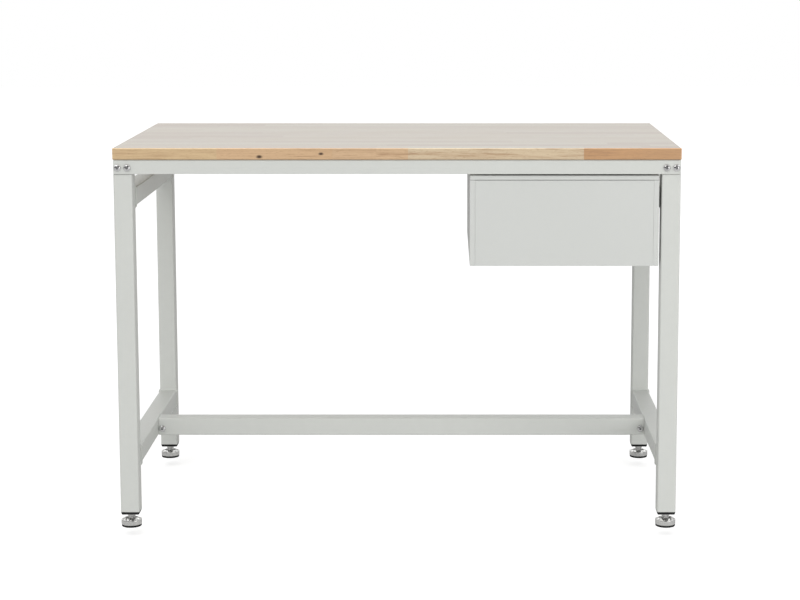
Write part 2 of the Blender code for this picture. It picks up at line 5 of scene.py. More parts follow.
import bpy
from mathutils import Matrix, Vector


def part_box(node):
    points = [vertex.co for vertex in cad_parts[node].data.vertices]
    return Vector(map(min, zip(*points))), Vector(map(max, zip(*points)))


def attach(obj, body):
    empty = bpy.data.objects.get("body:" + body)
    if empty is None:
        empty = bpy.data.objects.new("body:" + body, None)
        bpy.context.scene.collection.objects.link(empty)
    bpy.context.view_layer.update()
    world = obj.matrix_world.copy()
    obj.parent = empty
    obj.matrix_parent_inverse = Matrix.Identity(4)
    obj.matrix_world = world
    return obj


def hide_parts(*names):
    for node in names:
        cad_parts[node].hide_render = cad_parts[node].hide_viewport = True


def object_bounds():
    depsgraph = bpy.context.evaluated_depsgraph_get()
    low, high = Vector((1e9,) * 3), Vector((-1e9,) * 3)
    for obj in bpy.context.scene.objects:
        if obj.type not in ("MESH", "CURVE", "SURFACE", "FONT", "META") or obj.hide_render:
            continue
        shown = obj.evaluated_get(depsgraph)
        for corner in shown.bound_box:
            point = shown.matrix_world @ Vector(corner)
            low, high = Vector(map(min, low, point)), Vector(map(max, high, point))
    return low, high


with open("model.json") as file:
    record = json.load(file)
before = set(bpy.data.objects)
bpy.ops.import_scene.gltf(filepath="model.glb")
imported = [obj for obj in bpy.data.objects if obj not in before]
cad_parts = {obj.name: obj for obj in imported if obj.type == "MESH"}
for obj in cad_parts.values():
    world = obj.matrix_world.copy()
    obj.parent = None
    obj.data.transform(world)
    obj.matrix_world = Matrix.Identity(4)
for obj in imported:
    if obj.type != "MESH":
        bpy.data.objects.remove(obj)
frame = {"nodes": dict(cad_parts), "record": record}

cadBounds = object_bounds()
bodyOf = {node: body for body, nodes in frame["record"]["behaviour"]["bodies"].items() for node in nodes}
corners = [f"{end}_{side}" for end in ("front", "rear") for side in ("left", "right")]
print("frame loaded")


def newGroup(name, ins, outs):
    group = bpy.data.node_groups.new(name, "ShaderNodeTree")
    for socketName, kind, value in ins:
        socket = group.interface.new_socket(name=socketName, in_out="INPUT", socket_type=kind)
        if value is not None:
            socket.default_value = value
    for socketName, kind in outs:
        group.interface.new_socket(name=socketName, in_out="OUTPUT", socket_type=kind)
    return group, addNode(group, "NodeGroupInput"), addNode(group, "NodeGroupOutput")


def addNode(tree, kind, **inputs):
    node = tree.nodes.new(kind)
    for name, value in inputs.items():
        node.inputs[name].default_value = value
    return node


def addNoise(tree, vector, scale, detail=3.0, rough=0.5, distort=0.0):
    node = addNode(tree, "ShaderNodeTexNoise", Detail=detail, Roughness=rough, Distortion=distort)
    feed(tree, vector, node.inputs["Vector"])
    feed(tree, scale, node.inputs["Scale"])
    return node.outputs["Fac"]


def feed(tree, value, socket):
    if isinstance(value, bpy.types.NodeSocket):
        tree.links.new(value, socket)
    else:
        socket.default_value = value


def maths(tree, operation, *values, clamp=False):
    node = tree.nodes.new("ShaderNodeMath")
    node.operation = operation
    node.use_clamp = clamp
    for value, socket in zip(values, node.inputs):
        feed(tree, value, socket)
    return node.outputs[0]


def spread(tree, value, fromLow, fromHigh, toLow=0.0, toHigh=1.0):
    node = tree.nodes.new("ShaderNodeMapRange")
    for given, socket in zip((value, fromLow, fromHigh, toLow, toHigh), node.inputs):
        feed(tree, given, socket)
    return node.outputs[0]


def mixColours(tree, share, first, second, mode="MIX"):
    node = tree.nodes.new("ShaderNodeMix")
    node.data_type = "RGBA"
    node.blend_type = mode
    feed(tree, share, node.inputs[0])
    for value, socket in ((first, node.inputs[6]), (second, node.inputs[7])):
        feed(tree, (*value, 1) if isinstance(value, tuple) and len(value) == 3 else value, socket)
    return node.outputs[2]


def stretched(tree, vector, scale, place=(0, 0, 0)):
    node = tree.nodes.new("ShaderNodeMapping")
    feed(tree, vector, node.inputs["Vector"])
    node.inputs["Scale"].default_value = scale
    node.inputs["Location"].default_value = place
    return node.outputs[0]


def setStops(ramp, stops, mode="LINEAR"):
    # stops are (place, grey) or (place, colour)
    band = ramp.color_ramp
    band.interpolation = mode
    while len(band.elements) < len(stops):
        band.elements.new(0.5)
    for element, (place, tone) in zip(band.elements, stops):
        element.position = place
        element.color = (tone, tone, tone, 1) if isinstance(tone, float) else (*tone, 1)


studio = {
    "cameraPlace": (0.1055, -4.4219, 1.2111),
    "cameraTilt": 7.724,
    "lens": 87.93,
    "sensor": 36,
    "farClip": 200,
    "shift": (-0.0588, -0.09),
    "floorSize": 30.0,
    "footTravel": 0.0202,
    "floorLift": 0.60,
    "floorTone": 0.72,
    "lightColour": (1.0, 0.985, 0.965),
    "lights": {  # place, aim, size, energy
        "keyLight": ((-1.6, -2.6, 3.4), (0, 0, 0.5), (2.6, 2.0), 26.0),
        "fillLight": ((2.4, -2.8, 1.0), (-0.3, 0, 0.6), (2.0, 1.4), 22.0),
    },
}
# tones by height and by depth; metal and varnish mirror a dark room with a bright window high up
sky = {
    "strength": 1.0,
    "height": [(0.0, 0.85), (0.49, 0.85), (0.54, 0.95), (0.70, 0.80), (1.0, 0.76)],
    "depth": [(0.0, 1.50), (0.25, 1.20), (0.5, 0.58), (0.8, 0.70), (1.0, 0.78)],
    "room": [(0.0, 0.02), (0.16, 0.04), (0.34, 0.22), (0.5, 0.48), (1.0, 0.80)],
    "window": [(0.0, 0.9), (0.60, 0.9), (0.70, 1.4), (0.78, 3.2), (1.0, 2.4)],
}


def addCamera():
    bpy.ops.object.camera_add(
        location=studio["cameraPlace"],
        rotation=(math.radians(90 - studio["cameraTilt"]), 0, 0))
    camera = bpy.context.object
    camera.name = "camera"
    camera.data.lens = studio["lens"]
    camera.data.sensor_width = studio["sensor"]
    camera.data.shift_x, camera.data.shift_y = studio["shift"]
    camera.data.clip_end = studio["farClip"]
    bpy.context.scene.camera = camera


def addSoftLight(name, place, target, size, energy):
    aim = (Vector(target) - Vector(place)).to_track_quat("-Z", "Y").to_euler()
    bpy.ops.object.light_add(type="AREA", location=place, rotation=aim)
    light = bpy.context.object
    light.name = name
    light.data.shape = "RECTANGLE"
    light.data.size, light.data.size_y = size
    light.data.energy = energy
    light.data.color = studio["lightColour"]


def skyTones(tree, place, stops):
    ramp = tree.nodes.new("ShaderNodeValToRGB")
    setStops(ramp, stops)
    feed(tree, place, ramp.inputs[0])
    return ramp.outputs[0]


def addSky():
    world = bpy.data.worlds.new("studio")
    bpy.context.scene.world = world
    world.use_nodes = True
    tree = world.node_tree
    tree.nodes.clear()
    split = tree.nodes.new("ShaderNodeSeparateXYZ")
    feed(tree, tree.nodes.new("ShaderNodeTexCoord").outputs["Generated"], split.inputs[0])
    up = spread(tree, split.outputs["Z"], -1.0, 1.0)
    away = spread(tree, split.outputs["Y"], -1.0, 1.0)
    path = tree.nodes.new("ShaderNodeLightPath")
    shade = mixColours(tree, 1.0, skyTones(tree, up, sky["height"]), skyTones(tree, away, sky["depth"]),
                       "MULTIPLY")
    mirrored = mixColours(tree, 1.0, skyTones(tree, away, sky["room"]), skyTones(tree, up, sky["window"]),
                          "MULTIPLY")
    light = mixColours(tree, path.outputs["Is Glossy Ray"], shade, mirrored)
    seen = mixColours(tree, path.outputs["Is Camera Ray"], light, (1.0, 1.0, 1.0))
    glow = addNode(tree, "ShaderNodeBackground", Strength=sky["strength"])
    feed(tree, seen, glow.inputs["Color"])
    feed(tree, glow.outputs[0], tree.nodes.new("ShaderNodeOutputWorld").inputs[0])


def addFloor():
    size = studio["floorSize"]
    # low enough that the levelling feet can be wound right down
    bpy.ops.mesh.primitive_plane_add(size=size, location=(0, 0, cadBounds[0].z - studio["footTravel"]))
    floor = bpy.context.object
    floor.name = "floor"
    paint = bpy.data.materials.new("studioFloor")
    paint.use_nodes = True
    tree = paint.node_tree
    shader = tree.nodes["Principled BSDF"]
    shader.inputs["Base Color"].default_value = (*[studio["floorTone"]] * 3, 1)
    shader.inputs["Roughness"].default_value = 0.9
    shader.inputs["Specular IOR Level"].default_value = 0.1
    # overexposed to the eye, as a white sweep is, but not as a source of light
    path = tree.nodes.new("ShaderNodeLightPath")
    lift = tree.nodes.new("ShaderNodeMath")
    lift.operation = "MULTIPLY"
    lift.inputs[1].default_value = studio["floorLift"]
    tree.links.new(path.outputs["Is Camera Ray"], lift.inputs[0])
    shader.inputs["Emission Color"].default_value = (1, 1, 1, 1)
    tree.links.new(lift.outputs[0], shader.inputs["Emission Strength"])
    floor.data.materials.append(paint)


addCamera()
addSky()
addFloor()
for lightName, setting in studio["lights"].items():
    addSoftLight(lightName, *setting)
bpy.context.scene.view_settings.view_transform = "Standard"
print("studio ready")


def makeMottleGroup():
    # slow tone drift and a fine pebbled height, for powder coat, plastic and rubber
    group, entry, end = newGroup(
        "mottle",
        [("Vector", "NodeSocketVector", None), ("Pebble Scale", "NodeSocketFloat", 700.0),
         ("Drift Scale", "NodeSocketFloat", 5.0)],
        [("Tone", "NodeSocketFloat"), ("Height", "NodeSocketFloat"), ("Speck", "NodeSocketFloat")])
    vector = entry.outputs["Vector"]
    drift = addNoise(group, vector, entry.outputs["Drift Scale"], 4.0, 0.55)
    pebble = addNoise(group, vector, entry.outputs["Pebble Scale"], 2.0, 0.6)
    specks = group.nodes.new("ShaderNodeTexVoronoi")
    feed(group, vector, specks.inputs["Vector"])
    specks.inputs["Scale"].default_value = 320
    group.links.new(spread(group, drift, 0.3, 0.7), end.inputs["Tone"])
    group.links.new(pebble, end.inputs["Height"])
    group.links.new(spread(group, specks.outputs["Distance"], 0.0, 0.12, 1.0, 0.0), end.inputs["Speck"])
    return group


def makeEdgeGroup():
    # where a mesh turns sharply outwards (edge wear) or inwards (used for painted shade in creases)
    group, entry, end = newGroup(
        "edgeWearAndCreaseShade",
        [("Spread", "NodeSocketFloat", 0.06), ("Vector", "NodeSocketVector", None)],
        [("Edge", "NodeSocketFloat"), ("Hollow", "NodeSocketFloat")])
    shape = group.nodes.new("ShaderNodeNewGeometry")
    broken = addNoise(group, entry.outputs["Vector"], 60.0, 4.0, 0.6)
    point, reach = shape.outputs["Pointiness"], entry.outputs["Spread"]
    outward = spread(group, point, 0.5, maths(group, "ADD", reach, 0.5))
    inward = spread(group, point, 0.5, maths(group, "SUBTRACT", 0.5, reach))
    worn = maths(group, "MULTIPLY", outward, spread(group, broken, 0.35, 0.65))
    group.links.new(worn, end.inputs["Edge"])
    group.links.new(inward, end.inputs["Hollow"])
    return group


def makeDustGroup():
    # settles on what faces up, in patches
    group, entry, end = newGroup(
        "dust",
        [("Vector", "NodeSocketVector", None), ("Amount", "NodeSocketFloat", 0.3)],
        [("Dust", "NodeSocketFloat")])
    shape = group.nodes.new("ShaderNodeNewGeometry")
    split = group.nodes.new("ShaderNodeSeparateXYZ")
    group.links.new(shape.outputs["Normal"], split.inputs[0])
    patches = addNoise(group, entry.outputs["Vector"], 14.0, 6.0, 0.7)
    up = spread(group, split.outputs["Z"], 0.3, 1.0)
    patchy = maths(group, "MULTIPLY", up, spread(group, patches, 0.35, 0.75))
    group.links.new(maths(group, "MULTIPLY", patchy, entry.outputs["Amount"]), end.inputs["Dust"])
    return group


def makeScratchGroup():
    # fine drawn lines and rubbed patches, for bare and plated metal
    group, entry, end = newGroup(
        "drawnLines",
        [("Vector", "NodeSocketVector", None), ("Along", "NodeSocketVector", (4.0, 900.0, 900.0))],
        [("Lines", "NodeSocketFloat"), ("Rubbed", "NodeSocketFloat")])
    lengthened = group.nodes.new("ShaderNodeVectorMath")
    lengthened.operation = "MULTIPLY"
    group.links.new(entry.outputs["Vector"], lengthened.inputs[0])
    group.links.new(entry.outputs["Along"], lengthened.inputs[1])
    lines = addNoise(group, lengthened.outputs[0], 1.0, 2.0, 0.5)
    rubbed = addNoise(group, entry.outputs["Vector"], 35.0, 5.0, 0.6)
    group.links.new(lines, end.inputs["Lines"])
    group.links.new(spread(group, rubbed, 0.35, 0.65), end.inputs["Rubbed"])
    return group


mottleGroup = makeMottleGroup()
edgeGroup = makeEdgeGroup()
dustGroup = makeDustGroup()
scratchGroup = makeScratchGroup()


def placeGroup(tree, group, vector, **values):
    node = tree.nodes.new("ShaderNodeGroup")
    node.node_tree = group
    if vector is not None:
        feed(tree, vector, node.inputs["Vector"])
    for name, value in values.items():
        feed(tree, value, node.inputs[name])
    return node


def startMaterial(name, **sockets):
    material = bpy.data.materials.new(name)
    material.use_nodes = True
    tree = material.node_tree
    shader = tree.nodes["Principled BSDF"]
    for socketName, value in sockets.items():
        shader.inputs[socketName].default_value = value
    coords = tree.nodes.new("ShaderNodeTexCoord").outputs["Object"]
    return material, tree, shader, coords


def addBump(tree, shader, height, strength, distance):
    bump = addNode(tree, "ShaderNodeBump", Strength=strength, Distance=distance)
    tree.links.new(height, bump.inputs["Height"])
    tree.links.new(bump.outputs[0], shader.inputs["Normal"])



paintLook = {
    "frame": {"light": (0.618, 0.634, 0.606), "dark": (0.606, 0.622, 0.594), "roughness": 0.36},
    "drawer": {"light": (0.602, 0.617, 0.597), "dark": (0.594, 0.609, 0.589), "roughness": 0.40},
    "lapLine": 0.0022,
}


def makePaint(name, look):
    # powder coat: pebbled skin, thin on outer edges, a little painted shade in folds
    material, tree, shader, coords = startMaterial(name)
    mottle = placeGroup(tree, mottleGroup, coords, **{"Pebble Scale": 620.0, "Drift Scale": 4.0})
    edge = placeGroup(tree, edgeGroup, coords, Spread=0.09)
    dust = placeGroup(tree, dustGroup, coords, Amount=0.10)
    colour = mixColours(tree, mottle.outputs["Tone"], look["dark"], look["light"])
    # painted shade: the paint is darkened in hollows and creases
    creaseShade = maths(tree, "MULTIPLY", edge.outputs["Hollow"], 0.20)
    colour = mixColours(tree, creaseShade, colour, (0.30, 0.30, 0.27))
    thin = maths(tree, "MULTIPLY", edge.outputs["Edge"], 0.05)
    colour = mixColours(tree, thin, colour, (0.80, 0.81, 0.78))
    speck = maths(tree, "MULTIPLY", mottle.outputs["Speck"], 0.035)
    colour = mixColours(tree, speck, colour, (0.36, 0.36, 0.34))
    colour = mixColours(tree, dust.outputs["Dust"], colour, (0.74, 0.72, 0.67))
    # painted shadow lines: on the legs just under the rails that lap them, and painted shade along the seam
    # where the drawer's top flange meets its sides
    split = tree.nodes.new("ShaderNodeSeparateXYZ")
    tree.links.new(coords, split.inputs[0])
    lap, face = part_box("front_rail")[0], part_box("drawer_front")
    lines = ((lap.z, abs(lap.y) - 0.0026, "frame"), (face[1].z + 0.001, abs(face[0].y) - 0.0006, "drawer"))
    for top, depth, kind in lines:
        if look is paintLook[kind]:
            below = maths(tree, "SUBTRACT", top, split.outputs["Z"])
            line = maths(tree, "MULTIPLY", maths(tree, "GREATER_THAN", below, 0.0),
                         spread(tree, below, 0.0, paintLook["lapLine"], 1.0, 0.0))
            onFace = maths(tree, "GREATER_THAN", maths(tree, "ABSOLUTE", split.outputs["Y"]), depth)
            # painted shadow: a dark band just below each lap edge
            shadowLine = maths(tree, "MULTIPLY", maths(tree, "MULTIPLY", line, onFace), 0.85)
            colour = mixColours(tree, shadowLine, colour, (0.13, 0.13, 0.12))
    tree.links.new(colour, shader.inputs["Base Color"])
    gloss = spread(tree, mottle.outputs["Height"], 0.3, 0.7, look["roughness"] - 0.05, look["roughness"] + 0.07)
    tree.links.new(maths(tree, "ADD", gloss, dust.outputs["Dust"]), shader.inputs["Roughness"])
    addBump(tree, shader, mottle.outputs["Height"], 0.22, 0.0002)
    return material


woodLook = {
    "staveWidth": 0.0434,
    "staveLength": 0.56,
    "pale": (0.880, 0.680, 0.440),
    "mid": (0.840, 0.590, 0.350),
    "deep": (0.640, 0.400, 0.215),
    "fleck": (0.470, 0.265, 0.135),
    "seam": (0.200, 0.115, 0.062),
    # the top's tones, picked per stave and paled toward grey as a painted sheen
    "topSheen": [(0.0, (0.580, 0.560, 0.490)), (0.35, (0.560, 0.525, 0.458)), (0.65, (0.500, 0.448, 0.400)),
               (1.0, (0.600, 0.575, 0.500))],
    "under": (0.600, 0.580, 0.530),
    # where the front stave changes timber: share of the length, colour
    "frontStaves": [
        (0.0, (1.000, 0.755, 0.430)),
        (0.183, (1.000, 0.690, 0.400)),
        (0.383, (1.000, 0.710, 0.430)),
        (0.517, (1.000, 0.840, 0.580)),
        (0.825, (0.820, 0.470, 0.225)),
    ],
    # knots on the front edge: X, height, size
    "knots": [(-0.290, 0.8068, 0.0046), (-0.160, 0.8130, 0.0036)],
}


def makeWood(name):
    low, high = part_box("worktop")
    material, tree, shader, coords = startMaterial(name, **{"Coat Weight": 0.45, "Coat Roughness": 0.22})
    split = tree.nodes.new("ShaderNodeSeparateXYZ")
    tree.links.new(coords, split.inputs[0])
    x, y, z = split.outputs
    across = maths(tree, "DIVIDE", maths(tree, "SUBTRACT", y, low.y), woodLook["staveWidth"])
    row = maths(tree, "FLOOR", across)
    rowPick = tree.nodes.new("ShaderNodeTexWhiteNoise")
    rowPick.noise_dimensions = "1D"
    tree.links.new(row, rowPick.inputs["W"])
    along = maths(tree, "ADD", maths(tree, "DIVIDE", x, woodLook["staveLength"]),
                  maths(tree, "MULTIPLY", rowPick.outputs["Value"], 7.0))
    cell = tree.nodes.new("ShaderNodeCombineXYZ")
    tree.links.new(maths(tree, "FLOOR", along), cell.inputs[0])
    tree.links.new(row, cell.inputs[1])
    pick = tree.nodes.new("ShaderNodeTexWhiteNoise")
    pick.noise_dimensions = "3D"
    tree.links.new(cell.outputs[0], pick.inputs["Vector"])
    tones = tree.nodes.new("ShaderNodeValToRGB")
    setStops(tones, [(0.0, woodLook["pale"]), (0.55, woodLook["mid"]), (0.92, woodLook["pale"]),
                     (1.0, woodLook["deep"])])
    tree.links.new(pick.outputs["Value"], tones.inputs[0])
    frontTones = tree.nodes.new("ShaderNodeValToRGB")
    setStops(frontTones, woodLook["frontStaves"], "CONSTANT")
    tree.links.new(spread(tree, x, low.x, high.x), frontTones.inputs[0])
    isFront = maths(tree, "LESS_THAN", across, 1.0)
    timber = mixColours(tree, isFront, tones.outputs[0], frontTones.outputs[0])
    # each stave has its own grain
    shifted = tree.nodes.new("ShaderNodeVectorMath")
    shifted.operation = "ADD"
    spreadOut = tree.nodes.new("ShaderNodeVectorMath")
    spreadOut.operation = "SCALE"
    spreadOut.inputs["Scale"].default_value = 9.0
    tree.links.new(pick.outputs["Color"], spreadOut.inputs[0])
    tree.links.new(coords, shifted.inputs[0])
    tree.links.new(spreadOut.outputs[0], shifted.inputs[1])
    own = shifted.outputs[0]
    bands = addNoise(tree, stretched(tree, own, (1.6, 42.0, 42.0)), 1.0, 5.0, 0.6, 0.6)
    fibres = addNoise(tree, stretched(tree, own, (14.0, 520.0, 520.0)), 1.0, 3.0, 0.6)
    flecks = addNoise(tree, stretched(tree, own, (110.0, 900.0, 900.0)), 1.0, 1.0, 0.4)
    streaks = addNoise(tree, stretched(tree, own, (13.0, 330.0, 330.0)), 1.0, 4.0, 0.65, 0.3)
    patches = addNoise(tree, stretched(tree, own, (3.0, 6.0, 60.0)), 1.0, 2.0, 0.5)
    colour = mixColours(tree, spread(tree, bands, 0.44, 0.72, 0.0, 0.50), timber, woodLook["deep"])
    patchy = spread(tree, patches, 0.35, 0.62, 0.12, 0.95)
    streaked = maths(tree, "MULTIPLY", spread(tree, streaks, 0.50, 0.70), patchy)
    colour = mixColours(tree, streaked, colour, woodLook["fleck"])
    colour = mixColours(tree, spread(tree, fibres, 0.46, 0.74, 0.0, 0.22), colour, woodLook["fleck"])
    colour = mixColours(tree, spread(tree, flecks, 0.60, 0.72, 0.0, 0.40), colour, woodLook["fleck"])
    # end grain on the board's two ends
    shape = tree.nodes.new("ShaderNodeNewGeometry")
    facing = tree.nodes.new("ShaderNodeSeparateXYZ")
    tree.links.new(shape.outputs["Normal"], facing.inputs[0])
    isEnd = maths(tree, "GREATER_THAN", maths(tree, "ABSOLUTE", facing.outputs["X"]), 0.7)
    rings = tree.nodes.new("ShaderNodeTexWave")
    rings.wave_type = "RINGS"
    rings.rings_direction = "X"
    rings.inputs["Scale"].default_value = 130
    rings.inputs["Distortion"].default_value = 5
    rings.inputs["Detail"].default_value = 3
    tree.links.new(stretched(tree, own, (1, 1, 1), (0, 0, -0.77)), rings.inputs["Vector"])
    pores = addNoise(tree, coords, 1400.0, 2.0, 0.5)
    ringed = maths(tree, "MULTIPLY", rings.outputs["Fac"], 0.40)
    ends = mixColours(tree, ringed, (0.640, 0.420, 0.235), (0.450, 0.270, 0.145))
    ends = mixColours(tree, spread(tree, pores, 0.45, 0.70, 0.0, 0.5), ends, woodLook["fleck"])
    colour = mixColours(tree, isEnd, colour, ends)
    # glue lines between staves
    seam = maths(tree, "LESS_THAN", maths(tree, "PINGPONG", across, 0.5), 0.0055)
    butt = maths(tree, "LESS_THAN", maths(tree, "PINGPONG", along, 0.5), 0.0006)
    butt = maths(tree, "MULTIPLY", butt, maths(tree, "SUBTRACT", 1.0, isFront))
    line = maths(tree, "MAXIMUM", seam, butt)
    colour = mixColours(tree, maths(tree, "MULTIPLY", line, 0.45), colour, woodLook["seam"])
    for knotX, knotZ, size in woodLook["knots"]:
        across = maths(tree, "MULTIPLY", maths(tree, "SUBTRACT", x, knotX), 0.55)
        rise = maths(tree, "SUBTRACT", z, knotZ)
        ring = maths(tree, "SQRT", maths(
            tree, "ADD", maths(tree, "POWER", across, 2.0), maths(tree, "POWER", rise, 2.0)))
        ripple = maths(tree, "MULTIPLY", maths(tree, "SUBTRACT", fibres, 0.5), size * 0.5)
        ring = maths(tree, "ADD", ring, ripple)
        dark = maths(tree, "MULTIPLY", spread(tree, ring, size * 0.40, size, 0.97, 0.0), isFront)
        colour = mixColours(tree, dark, colour, (0.060, 0.030, 0.016))
    # a top paled as painted sheen, a raw underside, and a painted shadow along the board's bottom edge where it
    # sits on the rails
    isTop = spread(tree, facing.outputs["Z"], 0.75, 0.98)
    isUnder = spread(tree, facing.outputs["Z"], -0.75, -0.98)
    topSheen = tree.nodes.new("ShaderNodeValToRGB")
    setStops(topSheen, woodLook["topSheen"])
    tree.links.new(pick.outputs["Value"], topSheen.inputs[0])
    # painted sheen: the up-facing top is mixed toward these pale greys
    colour = mixColours(tree, maths(tree, "MULTIPLY", isTop, 0.80), colour, topSheen.outputs[0])
    colour = mixColours(tree, maths(tree, "MULTIPLY", isUnder, 0.80), colour, woodLook["under"])
    # painted shadow: the board's bottom edge is darkened to brown
    foot = spread(tree, z, low.z + 0.0006, low.z + 0.0024, 0.8, 0.0)
    foot = maths(tree, "MULTIPLY", foot, maths(tree, "SUBTRACT", 1.0, isUnder))
    colour = mixColours(tree, foot, colour, (0.200, 0.110, 0.060))
    tree.links.new(colour, shader.inputs["Base Color"])
    worn = addNoise(tree, coords, 7.0, 5.0, 0.6)
    gloss = maths(tree, "ADD", spread(tree, worn, 0.3, 0.7, 0.28, 0.40), maths(tree, "MULTIPLY", isEnd, 0.2))
    tree.links.new(gloss, shader.inputs["Roughness"])
    height = maths(tree, "SUBTRACT", maths(tree, "MULTIPLY", fibres, 0.6), maths(tree, "MULTIPLY", line, 1.2))
    addBump(tree, shader, height, 0.12, 0.0002)
    return material


metalLook = {
    "chrome": {"base": (0.86, 0.86, 0.87), "dull": (0.66, 0.66, 0.67), "low": 0.07, "high": 0.20,
               "along": (500.0, 500.0, 500.0)},
    "zincSheet": {"base": (0.70, 0.71, 0.72), "dull": (0.52, 0.53, 0.55), "low": 0.28, "high": 0.46,
                  "along": (700.0, 3.0, 700.0)},
    "footSteel": {"base": (0.88, 0.88, 0.86), "dull": (0.68, 0.68, 0.67), "low": 0.22, "high": 0.38,
                  "along": (900.0, 900.0, 60.0)},
}


def makeMetal(name, look, rust=0.0):
    material, tree, shader, coords = startMaterial(name, Metallic=1.0)
    lines = placeGroup(tree, scratchGroup, coords, Along=look["along"])
    edge = placeGroup(tree, edgeGroup, coords, Spread=0.10)
    colour = mixColours(tree, lines.outputs["Rubbed"], look["dull"], look["base"])
    # painted shade: the metal is darkened in hollows and creases
    colour = mixColours(tree, maths(tree, "MULTIPLY", edge.outputs["Hollow"], 0.55), colour, (0.10, 0.10, 0.10))
    colour = mixColours(tree, maths(tree, "MULTIPLY", edge.outputs["Edge"], 0.30), colour, (0.92, 0.92, 0.92))
    if rust:
        spots = addNoise(tree, coords, 240.0, 4.0, 0.7)
        colour = mixColours(tree, spread(tree, spots, 0.66, 0.76, 0.0, rust), colour, (0.26, 0.17, 0.11))
    tree.links.new(colour, shader.inputs["Base Color"])
    gloss = maths(tree, "ADD", spread(tree, lines.outputs["Lines"], 0.3, 0.7, look["low"], look["high"]),
                  maths(tree, "MULTIPLY", lines.outputs["Rubbed"], -0.04))
    tree.links.new(gloss, shader.inputs["Roughness"])
    addBump(tree, shader, lines.outputs["Lines"], 0.10, 0.0001)
    return material


darkLook = {
    "plastic": {"light": (0.012, 0.012, 0.013), "dark": (0.006, 0.006, 0.006), "roughness": 0.50,
                "grain": 900.0, "bump": 0.22},
    "rubber": {"light": (0.013, 0.013, 0.012), "dark": (0.006, 0.006, 0.006), "roughness": 0.85, "grain": 420.0,
               "bump": 0.45},
}


def makeDark(name, look):
    material, tree, shader, coords = startMaterial(name)
    mottle = placeGroup(tree, mottleGroup, coords, **{"Pebble Scale": look["grain"], "Drift Scale": 30.0})
    edge = placeGroup(tree, edgeGroup, coords, Spread=0.08)
    dust = placeGroup(tree, dustGroup, coords, Amount=0.14)
    shader.inputs["Specular IOR Level"].default_value = 0.3
    colour = mixColours(tree, mottle.outputs["Tone"], look["dark"], look["light"])
    colour = mixColours(tree, maths(tree, "MULTIPLY", edge.outputs["Edge"], 0.25), colour, (0.06, 0.06, 0.06))
    colour = mixColours(tree, dust.outputs["Dust"], colour, (0.22, 0.21, 0.20))
    tree.links.new(colour, shader.inputs["Base Color"])
    gloss = spread(tree, mottle.outputs["Height"], 0.3, 0.7, look["roughness"] - 0.07, look["roughness"] + 0.09)
    tree.links.new(gloss, shader.inputs["Roughness"])
    addBump(tree, shader, mottle.outputs["Height"], look["bump"], 0.0002)
    return material


finishes = {
    "wood": makeWood("oiledBeech"),
    "frame_paint": makePaint("framePowderCoat", paintLook["frame"]),
    "drawer_paint": makePaint("drawerPowderCoat", paintLook["drawer"]),
    "bolt_chrome": makeMetal("platedBolts", metalLook["chrome"]),
    "zinc_steel": makeMetal("zincSheet", metalLook["zincSheet"]),
    "foot_steel": makeMetal("turnedSteel", metalLook["footSteel"], 0.25),
    "black_plastic": makeDark("mouldedPlastic", darkLook["plastic"]),
    "black_rubber": makeDark("softRubber", darkLook["rubber"]),
}
print("finishes ready")



def activate(piece):
    if bpy.context.mode != "OBJECT":
        bpy.ops.object.mode_set(mode="OBJECT")
    bpy.ops.object.select_all(action="DESELECT")
    piece.select_set(True)
    bpy.context.view_layer.objects.active = piece


def applyPlace(piece):
    activate(piece)
    bpy.ops.object.transform_apply(location=True, rotation=True, scale=True)


def addBox(name, low, high):
    bpy.ops.object.select_all(action="DESELECT")
    low, high = Vector(low), Vector(high)
    bpy.ops.mesh.primitive_cube_add(size=1, location=(low + high) / 2, scale=high - low)
    piece = bpy.context.object
    piece.name = name
    applyPlace(piece)
    return piece


def addRound(name, radius, low, high, place, sides=48, turn=0.0, across=False):
    # a cylinder from low to high: along Z at X, Y, or along Y at X, Z
    bpy.ops.object.select_all(action="DESELECT")
    middle = (low + high) / 2
    spot = (place[0], middle, place[1]) if across else (place[0], place[1], middle)
    tilt = (math.radians(90), 0, 0) if across else (0, 0, 0)
    bpy.ops.mesh.primitive_cylinder_add(
        vertices=sides, radius=radius, depth=high - low, location=spot, rotation=tilt)
    piece = bpy.context.object
    piece.name = name
    if turn:
        piece.rotation_euler.rotate_axis("Z", turn)
    applyPlace(piece)
    return piece


def editPick(piece, kind, wanted):
    # edit mode, with only the wanted faces or edges selected
    activate(piece)
    bpy.ops.object.mode_set(mode="EDIT")
    bpy.ops.mesh.select_mode(type=kind)
    bpy.ops.mesh.select_all(action="DESELECT")
    bpy.ops.object.mode_set(mode="OBJECT")
    mesh = piece.data
    if kind == "FACE":
        for face in mesh.polygons:
            face.select = bool(wanted(face))
    else:
        for edge in mesh.edges:
            edge.select = bool(wanted(*(mesh.vertices[i].co for i in edge.vertices)))
    bpy.ops.object.mode_set(mode="EDIT")


def leaveEdit():
    bpy.ops.object.mode_set(mode="OBJECT")


def bevelEdges(piece, width, steps, wanted):
    editPick(piece, "EDGE", wanted)
    bpy.ops.mesh.bevel(offset=width, segments=steps, profile=0.5, affect="EDGES", clamp_overlap=True)
    leaveEdit()


def softenEdges(piece, width, steps=2, angle=34):
    activate(piece)
    bpy.ops.object.modifier_add(type="BEVEL")
    bevel = piece.modifiers[-1]
    bevel.width = width
    bevel.segments = steps
    bevel.limit_method = "ANGLE"
    bevel.angle_limit = math.radians(angle)
    bpy.ops.object.modifier_apply(modifier=bevel.name)


def cut(piece, tool, operation="DIFFERENCE"):
    activate(piece)
    bpy.ops.object.modifier_add(type="BOOLEAN")
    boolean = piece.modifiers[-1]
    boolean.operation = operation
    boolean.solver = "EXACT"
    boolean.object = tool
    bpy.ops.object.modifier_apply(modifier=boolean.name)
    bpy.data.objects.remove(tool, do_unlink=True)


def joinUp(pieces, name):
    activate(pieces[0])
    for piece in pieces:
        piece.select_set(True)
    bpy.ops.object.join()
    joined = bpy.context.object
    joined.name = name
    return joined


